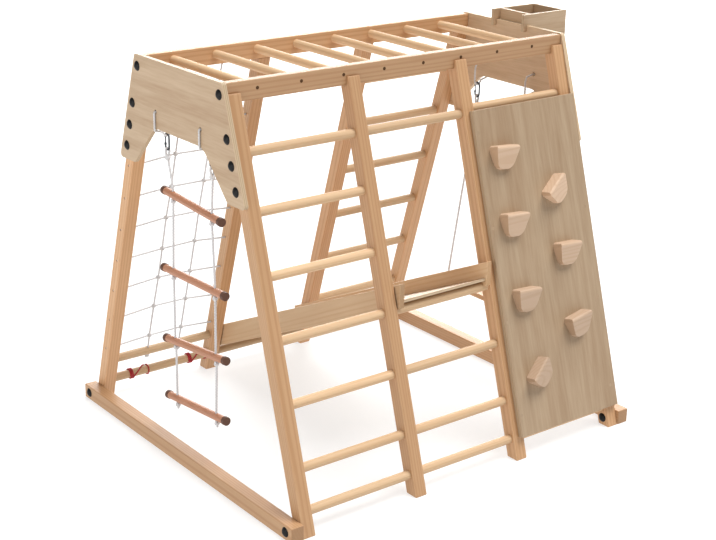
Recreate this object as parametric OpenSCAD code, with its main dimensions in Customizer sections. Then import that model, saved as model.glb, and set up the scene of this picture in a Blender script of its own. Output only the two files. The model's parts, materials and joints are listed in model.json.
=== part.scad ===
// A-shaped climbing frame for children: leaning legs with rungs, monkey bars, a climbing board,
// a rope net, a rope ladder, a swing, a ramp and a tray. Length along X, front at -Y, floor at z = 0.

/* [Legs] */
// Side of the square leg timber
leg_s = 45; // [42:1:48]
// Lean of the legs from upright, in degrees
lean = 16.66; // [16.4:0.02:17]
// Distance of a leg's centre line from the middle plane, at the floor
foot_y = 615.5; // [612:0.5:620]
// How far the leg tops stay below the rails' upper edges
leg_drop = 32; // [26:1:38]
// Distance between the centres of neighbouring legs
leg_pitch = 432; // [428:1:440]

/* [Rails and monkey bars] */
// Height of the rails' upper edges
rail_top = 1302; // [1298:1:1304]
// Height of a rail
rail_h = 60; // [56:1:64]
// Thickness of a rail
rail_t = 30; // [28:1:32]
// From the legs' centre lines out to a rail's outer face, at its upper edge
rail_out = 24; // [22:1:26]
// Diameter of a monkey bar
bar_d = 28; // [25:1:30]
// How far the monkey bars' axes lie below the rails' upper edges
bar_drop = 26; // [22:1:30]
// From the first leg's centre to the first monkey bar
bar_first = 86; // [80:1:92]
// Distance between monkey bars
bar_pitch = 157; // [152:1:160]
// Depth of the sockets in rails and legs
socket = 15; // [12:1:16]

/* [Rungs] */
// Diameter of a rung
rung_d = 30; // [28:1:32]
// Height of the lowest rung
rung_low = 65; // [62:1:70]
// Height of the second rung
rung_first = 190; // [186:1:194]
// Rise from rung to rung
rung_step = 185; // [182:1:186]
// Height of the top rung
rung_last = 1100; // [1098:1:1104]

/* [End panels] */
// Thickness of a plywood end panel
panel_t = 15; // [12:1:18]
// How far a panel stands above the rails
panel_rise = 3; // [1:1:10]
// From a panel's top edge down to the lower ends of its wings
wing_drop = 355; // [345:1:360]
// From a leg's centre line to the inner corner of a wing's lower end
wing_w = 59; // [51:1:65]
// Margin of the panel outside the legs
wing_margin = 6; // [3:1:8]
// From a panel's top edge down to the flat underside of the arch
arch_drop = 215; // [209:1:219]
// Half the width of the arch's flat underside
arch_flat = 115; // [110:1:118]
// Distance of the sling holes from the middle plane
sling_y = 130; // [126:1:133]
// From a panel's top edge down to the sling holes
sling_drop = 162; // [155:1:165]
// Diameter of a sling hole
sling_hole = 14; // [12:1:16]

/* [Base beams] */
// Width of a base beam
beam_w = 45; // [40:1:50]
// Height of a base beam
beam_h = 50; // [48:1:54]
// How far a base beam reaches past the legs' feet
beam_over = 2; // [0:1:8]
// Height of the beam bolts
beam_bolt_z = 27; // [24:1:30]

/* [Fasteners] */
// Diameter of a bolt's shank
bolt_d = 8; // [7:1:8]
// Diameter of a domed bolt cap
cap_d = 32; // [28:1:34]
// Height of a domed bolt cap
cap_h = 8; // [7:1:10]
// Diameter of a screw's head
screw_head_d = 11; // [9:1:12]
// Diameter of a screw's shank
screw_d = 5; // [4:0.5:5]

/* [Climbing board and holds] */
// Thickness of the board
board_t = 18; // [15:1:20]
// Height of the board's lower edge
board_low = 72; // [68:1:80]
// Height of the board's upper edge
board_top = 1110; // [1100:1:1114]
// Width of a hold across its flat top
hold_w = 98; // [94:1:104]
// Height of a hold along the board
hold_h = 80; // [76:1:84]
// Depth of a hold at its top edge
hold_t = 42; // [38:1:46]

/* [Net] */
// Height of the bar that the net hangs down to
net_bar_z = 150; // [146:1:154]
// Diameter of the net rope
net_rope_d = 8; // [7:1:9]
// Height of the lowest row of the net
net_row_z = 217; // [214:1:222]
// Rise from row to row of the net
net_row_step = 119; // [117:1:120]
// Diameter of the net's knots
net_knot_d = 18; // [16:1:20]

/* [Ramp] */
// Width of the ramp over its cheeks
ramp_w = 380; // [370:1:382]
// Thickness of a cheek
cheek_t = 18; // [15:1:20]
// Height of a cheek, measured upright
cheek_h = 82; // [76:1:88]
// Thickness of the ramp's deck
deck_t = 9; // [8:1:12]
// How far the cheeks reach past the rung they hook over
ramp_nose = 27; // [26:1:32]

/* [Rope ladder and swing] */
// Diameter of the ladder and swing ropes
rope_d = 9; // [8:1:10]
// Diameter of the slings through the panels
sling_d = 8; // [7:1:8]
// Diameter of a snap hook's wire
hook_wire = 6; // [5:1:6]
// Distance of the hanging planes inside the panels' inner faces
hang_in = 24; // [22:1:26]
// From the hinge in the slings down to the ladder's top rung
ladder_drop = 214; // [208:1:220]
// Distance between ladder rungs
ladder_step = 228; // [224:1:230]
// Length of a ladder rung over its end caps
ladder_w = 360; // [350:2:366]
// Diameter of a ladder rung
ladder_rung_d = 25; // [24:1:28]
// Distance of the ladder's ropes from the middle plane
ladder_rope_y = 120; // [116:1:124]
// Length of the swing's seat
seat_l = 546; // [536:2:560]
// Width of the swing's seat
seat_w = 100; // [92:2:110]
// Thickness of the swing's seat
seat_t = 18; // [16:1:20]
// Height of the seat's upper face
seat_z = 297; // [290:1:304]

/* [Tray] */
// Length of the tray away from the panel
tray_l = 175; // [165:1:180]
// Width of the tray along the panel
tray_w = 165; // [155:1:170]
// Height of the tray's upper edge above the panel
tray_rise = 38; // [34:1:44]
// Height of the tray's walls outside the panel
tray_h = 150; // [130:2:160]
// Thickness of the tray's walls
tray_t = 12; // [10:1:14]

/* [Hidden] */
$fn = 64;
e = 0.01;
fit = 0.15;
play = 0.3;
pine = "#dcb88c";
ply = "#cdb498";
rope_white = "#efece6";
dark = "#1c1c1e";
steel = "#9a9ca0";

function leg_y(z) = foot_y - z * tan(lean);

half_w = leg_s / 2 / cos(lean);
leg_top = rail_top - leg_drop;
rail_low = rail_top - rail_h;
rail_y = leg_y(rail_top) + rail_out;
rail_mid_y = rail_y - rail_t / 2;
bar_z = rail_top - bar_drop;
panel_top = rail_top + panel_rise;
wing_foot = panel_top - wing_drop;
wing_in = leg_y(wing_foot) - wing_w;
arch_z = panel_top - arch_drop;
sling_z = panel_top - sling_drop;
leg_xs = [for (k = [-1.5:1:1.5]) k * leg_pitch];
frame_x = leg_xs[3] + leg_s / 2;
panel_x = frame_x + panel_t;
beam_x = frame_x + beam_w;
bay_w = leg_pitch - leg_s;
rung_zs = [rung_low, for (k = [0:4]) rung_first + k * rung_step, rung_last];
middle_zs = [for (k = [0, 1, 2, 3, 6]) rung_zs[k]];
ramp_rung_z = rung_zs[3];
bar_count = 8;
bar_xs = [for (k = [0:bar_count - 1]) leg_xs[0] + bar_first + k * bar_pitch];

// Panel bolts: the top one is in the rail's end, the others on the leg's centre line
top_bolt_drop = 34;
wing_bolt_drops = [161, 236, 309];
top_bolt_z = rail_top - top_bolt_drop;
wing_bolt_zs = [for (drop = wing_bolt_drops) panel_top - drop];
bolt_depth = 38;
insert_d = 12;
insert_l = 22;
head_d = 18;
head_h = 4;
screw_head_h = 4;
rail_screw_l = 42;

// Reach of the whole frame along X, which sets the origin at the middle of its box
reach_left = beam_x + cap_h;
reach_right = panel_x + play + tray_l;
mid_x = (reach_right - reach_left) / 2;

module placed() translate([-mid_x, 0, 0]) children();

module on_side(side) {
    if (side < 0) mirror([0, 1, 0]) children();
    else children();
}

module at_end(end) {
    if (end < 0) mirror([1, 0, 0]) children();
    else children();
}

// Extrudes an outline drawn in Y and Z along X, between two places
module along_x(x0, x1) translate([x0, 0, 0]) rotate([90, 0, 90]) linear_extrude(x1 - x0) children();

module x_rod(x0, x1, y, z, d) translate([x0, y, z]) rotate([0, 90, 0]) cylinder(d = d, h = x1 - x0);

// Straight round cord between two points
module strand(a, b, d) {
    v = b - a;
    translate(a)
        rotate([0, acos(v[2] / norm(v)), atan2(v[1], v[0])])
            cylinder(d = d, h = norm(v));
}

module knot(p, d) translate(p) sphere(d = d);

// Legs: leaning timbers with level feet, notched at the top so that a cheek laps the rail
module leg_blank(x) {
    along_x(x - leg_s / 2, x + leg_s / 2)
        difference() {
            polygon([
                [foot_y - half_w, 0],
                [foot_y + half_w, 0],
                [leg_y(leg_top) + half_w, leg_top],
                [leg_y(leg_top) - half_w, leg_top]
            ]);
            translate([rail_y - leg_s, rail_low]) square([leg_s, rail_h]);
        }
}

module leg_sockets(x, zs, end) {
    for (z = zs)
        translate([x, leg_y(z), z])
            rotate([0, 90 * end, 0])
                translate([0, 0, leg_s / 2 - socket])
                    cylinder(d = rung_d + 2 * fit, h = socket + 1);
}

// Bores of the wing bolts and the beam bolt in an end leg
module end_leg_bores(end) {
    at_end(end) {
        for (z = wing_bolt_zs) {
            x_rod(frame_x - bolt_depth, frame_x + 1, leg_y(z), z, bolt_d + 2 * fit);
            x_rod(frame_x - bolt_depth, frame_x - bolt_depth + insert_l, leg_y(z), z, insert_d + 2 * fit);
        }
        x_rod(frame_x - leg_s - 1, frame_x + 1, leg_y(beam_bolt_z), beam_bolt_z, bolt_d + 2 * fit);
    }
}

module net_bores(x) {
    back_plane() for (z = net_row_ends) x_rod(x - leg_s, x + leg_s, 0, z, net_rope_d + 2 * fit);
}

module leg_front(k) {
    left = [[], rung_zs, middle_zs, [rung_low]][k];
    right = [rung_zs, middle_zs, [rung_low], []][k];
    x = leg_xs[k];
    color(pine)
        placed()
            difference() {
                on_side(-1)
                    difference() {
                        leg_blank(x);
                        leg_sockets(x, left, -1);
                        leg_sockets(x, right, 1);
                        if (k == 0) end_leg_bores(-1);
                        if (k == 3) end_leg_bores(1);
                    }
                if (k > 1) board_frame() board_screw_bores();
            }
}

module leg_back(k) {
    bars = [net_bar_z, rung_low];
    left = [[], bars, [rung_low], rung_zs][k];
    right = [bars, [rung_low], rung_zs, []][k];
    x = leg_xs[k];
    color(pine)
        placed()
            difference() {
                leg_blank(x);
                leg_sockets(x, left, -1);
                leg_sockets(x, right, 1);
                if (k < 2) net_bores(x);
                if (k == 0) end_leg_bores(-1);
                if (k == 3) end_leg_bores(1);
            }
}

// Rails with blind sockets for the bars, screw bores and a bolt bore in each end
module rail(side) {
    color(pine)
        placed()
            on_side(side)
                difference() {
                    translate([-frame_x, rail_y - rail_t, rail_low]) cube([2 * frame_x, rail_t, rail_h]);
                    for (x = bar_xs) {
                        translate([x, rail_y - rail_t - 1, bar_z])
                            rotate([-90, 0, 0])
                                cylinder(d = bar_d + 2 * fit, h = socket + 1);
                        translate([x, rail_y, bar_z]) screw_bore(rail_t);
                    }
                    for (end = [-1, 1])
                        at_end(end) {
                            x_rod(frame_x - bolt_depth, frame_x + 1, rail_mid_y, top_bolt_z,
                                  bolt_d + 2 * fit);
                            x_rod(frame_x - bolt_depth, frame_x - bolt_depth + insert_l, rail_mid_y,
                                  top_bolt_z, insert_d + 2 * fit);
                        }
                    if (side > 0)
                        back_plane()
                            for (x = net_column_xs)
                                translate([x, 0, 0]) cylinder(d = net_rope_d + 2 * fit, h = net_column_top);
                }
}

module monkey_bar(k) {
    half = rail_y - rail_t + socket;
    color(pine)
        placed()
            difference() {
                translate([bar_xs[k], -half, bar_z]) rotate([-90, 0, 0]) cylinder(d = bar_d, h = 2 * half);
                for (side = [-1, 1])
                    on_side(side) translate([bar_xs[k], rail_y, bar_z]) screw_bore(rail_screw_l);
            }
}

// Countersunk seat and bore of a screw that enters along -Y, with the face at y = 0
module screw_bore(depth) {
    rotate([90, 0, 0]) {
        translate([0, 0, -1]) cylinder(d = screw_head_d + 2 * fit, h = screw_head_h + 1);
        cylinder(d = screw_d + 2 * fit, h = depth + 1);
    }
}

module screw(length) {
    rotate([90, 0, 0]) {
        cylinder(d = screw_head_d, h = screw_head_h);
        cylinder(d = screw_d, h = length);
    }
}

module rail_screws() {
    color(dark)
        placed()
            for (side = [-1, 1], x = bar_xs) on_side(side) translate([x, rail_y, bar_z]) screw(rail_screw_l);
}

// Rungs of a bay: bay 0 is between the first and second legs
module rungs(bay, side, zs) {
    inset = leg_s / 2 - socket;
    color(pine)
        placed()
            on_side(side)
                for (z = zs) x_rod(leg_xs[bay] + inset, leg_xs[bay + 1] - inset, leg_y(z), z, rung_d);
}

module rungs_front_left() rungs(0, -1, rung_zs);
module rungs_front_middle() rungs(1, -1, middle_zs);
module rung_front_right() rungs(2, -1, [rung_low]);
module rungs_back_right() rungs(2, 1, rung_zs);

module low_bars_back() {
    rungs(0, 1, [rung_low]);
    rungs(1, 1, [rung_low]);
}

module net_bar() {
    inset = leg_s / 2 - socket;
    color(pine)
        placed()
            difference() {
                x_rod(leg_xs[0] + inset, leg_xs[1] - inset, leg_y(net_bar_z), net_bar_z, rung_d);
                back_plane()
                    for (x = net_column_xs)
                        translate([x, 0, 0])
                            cylinder(d = net_rope_d + 2 * fit, h = net_bar_z / cos(lean) + rung_d);
            }
}

// Net: rows laced through the legs and columns from the net bar up into the rail
net_top_room = 40;
net_rows = floor((rail_low - net_top_room - net_row_z) / net_row_step) + 1;
net_sag = 12;
net_row_zs = [for (k = [0:net_rows - 1]) (net_row_z + k * net_row_step) / cos(lean)];
net_row_ends = [for (z = net_row_zs) z - net_sag];
net_bay_x = (leg_xs[0] + leg_xs[1]) / 2;
net_column_xs = [net_bay_x - bay_w / 6, net_bay_x + bay_w / 6];
net_column_top = (rail_low + socket) / cos(lean);

// Plane of the back legs' centre lines: Z climbs along the legs
module back_plane() translate([0, foot_y, 0]) rotate([lean, 0, 0]) children();

// Knot of the net, drawn out along its row
module net_knot(p) {
    hull()
        for (dx = [-3, 3]) translate(p + [dx, 0, 0]) sphere(d = net_knot_d - 4, $fn = 10);
}

module net_row(z) {
    reach = leg_s - 2;
    x0 = leg_xs[0] + leg_s / 2;
    x1 = leg_xs[1] - leg_s / 2;
    ends = [[x0, 0, z - net_sag], [x1, 0, z - net_sag]];
    knots = [for (x = net_column_xs) [x, 0, z]];
    x_rod(x0 - reach, x0, 0, z - net_sag, net_rope_d);
    x_rod(x1, x1 + reach, 0, z - net_sag, net_rope_d);
    strand(ends[0], knots[0], net_rope_d);
    strand(knots[0], knots[1], net_rope_d);
    strand(knots[1], ends[1], net_rope_d);
    for (p = knots) net_knot(p);
}

module climbing_net() {
    bottom = net_bar_z / cos(lean) - rung_d / 2;
    $fn = 8;
    color(rope_white)
        placed()
            back_plane() {
                for (z = net_row_zs) net_row(z);
                for (x = net_column_xs) {
                    translate([x, 0, bottom - 6]) cylinder(d = net_rope_d, h = net_column_top - bottom + 6);
                    net_knot([x, 0, bottom - net_knot_d / 2 + 1.8]);
                }
            }
}

// Red cords lashed round the low bar under the net, each with a strand that crosses over to a last turn
tie_xs = [-548, -305];
tie_d = 5;
tie_cross = 56;
tie_turn = tie_d + 0.2;
tie_sides = 12;
tie_r = (rung_d / 2 + tie_d / 2 + play / 2) / cos(180 / tie_sides);
tie_steps = 5;

// Point on the crossing strand, which climbs over the bar from its front to its back
function tie_point(x, part) =
    let (a = -15 + 150 * part)
    [x + part * tie_cross, leg_y(rung_low) - tie_r * cos(a), rung_low + tie_r * sin(a)];

module bar_loop(x) {
    translate([x, leg_y(rung_low), rung_low])
        rotate([0, 90, 0])
            rotate_extrude($fn = tie_sides) translate([tie_r, 0]) circle(d = tie_d, $fn = 8);
}

module net_ties() {
    $fn = 8;
    color("#b3202a")
        placed()
            for (x = tie_xs) {
                for (k = [-2:0]) bar_loop(x + k * tie_turn);
                bar_loop(x + tie_cross);
                for (k = [1:tie_steps])
                    strand(tie_point(x, (k - 1) / tie_steps), tie_point(x, k / tie_steps), tie_d);
            }
}

// End panels: a plywood board with an arch below and a sling hole each side
arch_r = 60;
corner_r = 12;

// Height of the arch's underside, at a distance from the middle plane
function arch_edge_z(y) = arch_z - arch_r + sqrt(arch_r * arch_r - pow(max(y - arch_flat, 0), 2));

function turned(a) = [cos(a), sin(a)];

function arc(c, r, a0, a1, n) = [for (k = [0:n]) c + r * turned(a0 + (a1 - a0) * k / n)];

module panel_outline() {
    outer_top = leg_y(panel_top) + half_w + wing_margin;
    outer_foot = leg_y(wing_foot) + half_w + wing_margin;
    top_c = [outer_top - corner_r, panel_top - corner_r];
    foot_c = [outer_foot - corner_r, wing_foot + corner_r];
    arch_c = [arch_flat, arch_z - arch_r];
    half = concat(
        arc(top_c, corner_r, 90, 16, 6),
        arc(foot_c, corner_r, 10, -90, 6),
        [[wing_in, wing_foot]],
        arc(arch_c, arch_r, 42, 90, 8)
    );
    polygon(concat(half, [for (k = [len(half) - 1:-1:0]) [-half[k][0], half[k][1]]]));
}

module end_panel(end) {
    color(ply)
        placed()
            at_end(end)
                difference() {
                    along_x(frame_x, panel_x) panel_outline();
                    for (side = [-1, 1])
                        on_side(side) {
                            x_rod(frame_x - 1, panel_x + 1, sling_y, sling_z, sling_hole);
                            x_rod(frame_x - 1, panel_x + 1, rail_mid_y, top_bolt_z, bolt_d + 2 * fit);
                            for (z = wing_bolt_zs)
                                x_rod(frame_x - 1, panel_x + 1, leg_y(z), z, bolt_d + 2 * fit);
                        }
                }
}

module base_beam(end) {
    beam_half = foot_y + half_w + beam_over;
    color(pine)
        placed()
            at_end(end)
                difference() {
                    translate([frame_x, -beam_half, 0]) cube([beam_w, 2 * beam_half, beam_h]);
                    for (side = [-1, 1])
                        on_side(side)
                            x_rod(frame_x - 1, beam_x + 1, leg_y(beam_bolt_z), beam_bolt_z,
                                bolt_d + 2 * fit);
                }
}

// Domed cap with a recess for the bolt's head; the rim is at x = 0 and the dome points to +X
module bolt_cap() {
    dome_r = (cap_h * cap_h + cap_d * cap_d / 4) / (2 * cap_h);
    rotate([0, 90, 0])
        difference() {
            intersection() {
                translate([0, 0, cap_h - dome_r]) sphere(r = dome_r);
                cylinder(d = cap_d + 1, h = cap_h + 1);
            }
            translate([0, 0, -e]) cylinder(d = head_d + 2 * play, h = head_h + e);
        }
}

module each_panel_bolt(end) {
    at_end(end)
        for (side = [-1, 1])
            on_side(side) {
                translate([panel_x, rail_mid_y, top_bolt_z]) children();
                for (z = wing_bolt_zs) translate([panel_x, leg_y(z), z]) children();
            }
}

module each_beam_bolt(end) {
    at_end(end)
        for (side = [-1, 1]) on_side(side) translate([beam_x, leg_y(beam_bolt_z), beam_bolt_z]) children();
}

module bolt_caps() {
    color(dark)
        placed()
            for (end = [-1, 1]) {
                each_panel_bolt(end) bolt_cap();
                each_beam_bolt(end) {
                    bolt_cap();
                    translate([-beam_w - leg_s, 0, 0]) mirror([1, 0, 0]) bolt_cap();
                }
            }
}

module bolt(length) {
    x_rod(-length, 0, 0, 0, bolt_d);
    x_rod(0, head_h - fit, 0, 0, head_d);
}

module frame_bolts() {
    through = beam_w + leg_s;
    color(steel)
        placed()
            for (end = [-1, 1]) {
                each_panel_bolt(end) bolt(panel_t + bolt_depth);
                each_beam_bolt(end) {
                    bolt(through);
                    x_rod(-through - head_h + fit, -through, 0, 0, head_d);
                }
            }
}

module thread_inserts() {
    color(steel)
        placed()
            for (end = [-1, 1])
                each_panel_bolt(end)
                    difference() {
                        x_rod(-panel_t - bolt_depth, insert_l - panel_t - bolt_depth, 0, 0, insert_d);
                        x_rod(-panel_t - bolt_depth - 1, 0, 0, 0, bolt_d + 2 * fit);
                    }
}

// Climbing board on the outer faces of the two right front legs
board_x0 = leg_xs[2];
board_x1 = frame_x;
board_screw_edge = 70;
board_screw_step = (board_top - board_low - 2 * board_screw_edge) / 3;
board_screw_zs = [for (k = [0:3]) board_low + board_screw_edge + k * board_screw_step];
board_screw_xs = [leg_xs[2] + leg_s / 4, leg_xs[3]];
board_screw_l = 42;

// Plane of the front legs' outer faces: Z climbs along the legs and -Y points out
module board_frame() translate([0, -foot_y - half_w, 0]) rotate([-lean, 0, 0]) children();

module board_screw_bores() {
    for (x = board_screw_xs, z = board_screw_zs)
        translate([x, -board_t, z / cos(lean)]) mirror([0, 1, 0]) screw_bore(board_screw_l);
}

module climbing_board() {
    color("#bfa585")
        placed()
            board_frame()
                difference() {
                    translate([board_x0, -board_t, board_low / cos(lean)])
                        cube([board_x1 - board_x0, board_t, (board_top - board_low) / cos(lean)]);
                    board_screw_bores();
                    for (h = holds)
                        translate([h[0], 0, h[1] / cos(lean)])
                            rotate([90, 0, 0])
                                translate([0, 0, -1])
                                    cylinder(d = bolt_d + 2 * fit, h = board_t + 2);
                }
}

module board_screws() {
    color(steel)
        placed()
            board_frame()
                for (x = board_screw_xs, z = board_screw_zs)
                    translate([x, -board_t, z / cos(lean)]) mirror([0, 1, 0]) screw(board_screw_l);
}

// Holds: place of the middle along X, height, and tilt in degrees
holds = [
    [308, 953, 4],
    [518, 814, -38],
    [308, 740, 4],
    [523, 610, 3],
    [312, 499, 3],
    [529, 373, -10],
    [330, 253, -42]
];
hold_bolt_depth = 24;
hold_foot_t = 16;
hold_corner_r = 14;
hold_tip_r = 30;
hold_tip_half = 8;

// Front outline of a hold: flat top with rounded corners, sides that run in to a round tip
module hold_outline() {
    top = hold_h / 2;
    side = hold_w / 2 - hold_corner_r;
    corner = [side, top - hold_corner_r];
    tip = [hold_tip_half, hold_tip_r - top];
    v = corner - tip;
    a = atan2(v[1], v[0]) - acos((hold_tip_r - hold_corner_r) / norm(v));
    half = concat(arc(corner, hold_corner_r, 90, a, 8), arc(tip, hold_tip_r, a, -90, 8));
    polygon(concat(half, [for (k = [len(half) - 1:-1:0]) [-half[k][0], half[k][1]]]));
}

module hold(k) {
    h = holds[k];
    top = hold_h / 2;
    edge_r = 8;
    color("#dcc6a4")
        placed()
            board_frame()
                translate([h[0], -board_t, h[1] / cos(lean)])
                    rotate([0, h[2], 0])
                        difference() {
                            intersection() {
                                rotate([90, 0, 0]) linear_extrude(hold_t) hold_outline();
                                along_x(-hold_w, hold_w)
                                    polygon(concat(
                                        [[0, -top - 1], [-hold_foot_t, -top - 1]],
                                        arc([edge_r - hold_t, top - edge_r - 4], edge_r, 205, 85, 6),
                                        [[0, top - 1]]
                                    ));
                            }
                            rotate([90, 0, 0])
                                translate([0, 0, -1])
                                    cylinder(d = bolt_d + 2 * fit, h = hold_bolt_depth + 1);
                        }
}

module hold_bolts() {
    color(steel)
        placed()
            board_frame()
                for (h = holds)
                    translate([h[0], 0, h[1] / cos(lean)])
                        rotate([90, 0, 0]) {
                            translate([0, 0, -head_h]) cylinder(d = head_d, h = head_h);
                            cylinder(d = bolt_d, h = board_t + hold_bolt_depth);
                        }
}

// Ramp: its notched cheeks hook over a front rung and lie on the back low bar
ramp_gap = play;
ramp_y0 = -leg_y(ramp_rung_z);
ramp_run = leg_y(rung_low) - ramp_y0;
ramp_drop = ramp_rung_z - rung_low;
ramp_reach = norm([ramp_run, ramp_drop]);
ramp_a = atan(ramp_drop / ramp_run) - asin((rung_d / 2 + ramp_gap) / ramp_reach);
ramp_front = ramp_y0 - ramp_nose;
ramp_back = leg_y(rung_low) + 6;
deck_rise = rung_d / 2 + 1;
groove = 6;

// Height of a line parallel to the cheeks' underside, at a distance square to it
function ramp_z(y, off) = ramp_rung_z - (y - ramp_y0) * tan(ramp_a) + off / cos(ramp_a);

module ramp_strip(y0, y1, off, thick) {
    polygon([
        [y0, ramp_z(y0, off)],
        [y1, ramp_z(y1, off)],
        [y1, ramp_z(y1, off + thick)],
        [y0, ramp_z(y0, off + thick)]
    ]);
}

module ramp_deck() {
    half = ramp_w / 2 - cheek_t + groove;
    color(ply)
        placed()
            along_x(-half, half) ramp_strip(ramp_front + 8, ramp_back - 8, deck_rise, deck_t);
}

module ramp_cheek(end) {
    notch_r = rung_d / 2 + ramp_gap;
    color(pine)
        placed()
            at_end(end)
                difference() {
                    along_x(ramp_w / 2 - cheek_t, ramp_w / 2)
                        ramp_strip(ramp_front, ramp_back, 0, cheek_h * cos(ramp_a));
                    x_rod(ramp_w / 2 - cheek_t - 1, ramp_w / 2 + 1, ramp_y0, ramp_rung_z, 2 * notch_r);
                    along_x(ramp_w / 2 - cheek_t - 1, ramp_w / 2 + 1)
                        translate([ramp_y0 - notch_r, ramp_rung_z - cheek_h]) square([2 * notch_r, cheek_h]);
                    along_x(ramp_w / 2 - cheek_t - 1, ramp_w / 2 - cheek_t + groove)
                        ramp_strip(ramp_front + 8, ramp_back - 8, deck_rise, deck_t);
                }
}

// Slings: a rope loop through each hole and under the arch, which holds a snap hook in its bend
hang_x = frame_x - hang_in;
bend_r = 14;
bend_z = arch_z - 14;
hook_arc = 11;
hook_l = 30;

// Half ring in the XZ plane, on the upper or the lower side of its centre
module bend(c, r, d, up) {
    translate(c)
        rotate([90, 0, 0])
            rotate([0, 0, up > 0 ? 0 : 180])
                rotate_extrude(angle = 180) translate([r, 0]) circle(d = d);
}

// Rounded corner of a sling
module sling_corner(p) {
    hull()
        for (dx = [-0.5, 0.5]) translate(p + [dx, 0, 0]) sphere(d = sling_d, $fn = 8);
}

module sling() {
    out = panel_x + sling_d / 2 + play;
    edge_z = arch_edge_z(sling_y + sling_d / 2) - sling_d / 2 - play;
    inner = frame_x - sling_d / 2 - 2;
    stations = [
        [hang_x + bend_r, 0, bend_z],
        [out, 0, edge_z],
        [out, 0, sling_z],
        [inner, 0, sling_z],
        [hang_x - bend_r, 0, bend_z]
    ];
    bend([hang_x, 0, bend_z], bend_r, sling_d, -1);
    for (k = [0:3]) strand(stations[k], stations[k + 1], sling_d);
    for (p = stations) sling_corner(p);
}

module panel_slings() {
    $fn = 12;
    color(rope_white)
        placed()
            for (end = [-1, 1], side = [-1, 1]) at_end(end) on_side(side) translate([0, sling_y, 0]) sling();
}

// Snap hook: a long wire link that hangs in the sling's bend
hook_top = bend_z - bend_r + sling_d / 2 + play + hook_wire / 2;
hook_low = hook_top - 2 * hook_arc - hook_l;

module snap_hook() {
    upper = [0, 0, hook_top - hook_arc];
    lower = [0, 0, hook_low + hook_arc];
    rotate([0, 0, 90]) {
        bend(upper, hook_arc, hook_wire, 1);
        bend(lower, hook_arc, hook_wire, -1);
    }
    for (side = [-1, 1]) translate([0, side * hook_arc, lower[2]]) cylinder(d = hook_wire, h = hook_l);
}

// Eye of a rope over the hook's lower bend, closed by a knot
eye_knot_d = 22;
eye_l = 26;
eye_z = hook_low - eye_l;

module rope_eye() {
    r = (rope_d + hook_wire) / 2 + play;
    bend([0, 0, hook_low], r, rope_d, 1);
    for (side = [-1, 1]) {
        strand([side * r, 0, hook_low], [0, 0, eye_z], rope_d);
        knot([side * r, 0, hook_low], rope_d + 1);
    }
    knot([0, 0, eye_z], eye_knot_d);
}

// Rope ladder at the left end
ladder_rungs_n = 4;
ladder_twist = [-2, 1, 1, 0];
ladder_tilt = [2, -1, -6, -6];
ladder_slack = [8, -13, -15, 8];
ladder_shift = -10;
ladder_zs = [for (k = [0:ladder_rungs_n - 1]) bend_z - ladder_drop - k * ladder_step + ladder_slack[k]];
ladder_cap_l = 14;
rung_knot_d = 20;
rung_knot_z = ladder_rung_d / 2 + 8.9;

// Point on the axis of a rung's rope hole, by its height over the rung's axis
function ladder_point(k, side, rise) =
    let (along = side * ladder_rope_y * cos(ladder_tilt[k]) - rise * sin(ladder_tilt[k]))
    [
        -along * sin(ladder_twist[k]),
        ladder_shift + along * cos(ladder_twist[k]),
        ladder_zs[k] + side * ladder_rope_y * sin(ladder_tilt[k]) + rise * cos(ladder_tilt[k])
    ];

module at_ladder() placed() translate([-hang_x, 0, 0]) children();

module at_ladder_rung(k) {
    translate([0, ladder_shift, ladder_zs[k]]) rotate([ladder_tilt[k], 0, ladder_twist[k]]) children();
}

module ladder_ropes() {
    lead = ladder_rung_d / 2 + 6;
    color(rope_white)
        at_ladder()
            for (side = [-1, 1]) {
                top = [0, side * sling_y, eye_z];
                translate([0, side * sling_y, 0]) rope_eye();
                strand(top, ladder_point(0, side, lead), rope_d);
                for (k = [0:ladder_rungs_n - 1]) {
                    knot(ladder_point(k, side, lead), rope_d + 2);
                    strand(ladder_point(k, side, -rung_knot_z), ladder_point(k, side, lead), rope_d);
                    knot(ladder_point(k, side, -rung_knot_z), rung_knot_d);
                    if (k < ladder_rungs_n - 1)
                        strand(ladder_point(k + 1, side, lead), ladder_point(k, side, -rung_knot_z), rope_d);
                }
            }
}

module ladder_rungs() {
    half = ladder_w / 2 - 2;
    color("#c98f62")
        at_ladder()
            for (k = [0:ladder_rungs_n - 1])
                at_ladder_rung(k)
                    difference() {
                        translate([0, -half, 0])
                            rotate([-90, 0, 0]) cylinder(d = ladder_rung_d, h = 2 * half);
                        for (side = [-1, 1])
                            translate([0, side * ladder_rope_y, -ladder_rung_d])
                                cylinder(d = rope_d + 2 * fit, h = 2 * ladder_rung_d);
                    }
}

module ladder_caps() {
    color("#4a423c")
        at_ladder()
            for (k = [0:ladder_rungs_n - 1], side = [-1, 1])
                at_ladder_rung(k)
                    on_side(side)
                        translate([0, ladder_w / 2, 0])
                            rotate([90, 0, 0])
                                difference() {
                                    cylinder(d = ladder_rung_d + 3, h = ladder_cap_l);
                                    translate([0, 0, 2])
                                        cylinder(d = ladder_rung_d + 2 * fit, h = ladder_cap_l);
                                }
}

module ladder_hooks() {
    color("#3a3c40") at_ladder() for (side = [-1, 1]) translate([0, side * sling_y, 0]) snap_hook();
}

// Swing at the right end
seat_rope_inset = 25;
seat_rope_y = seat_l / 2 - seat_rope_inset;
seat_corner_r = 20;

module at_swing() placed() translate([hang_x, 0, 0]) children();

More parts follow.
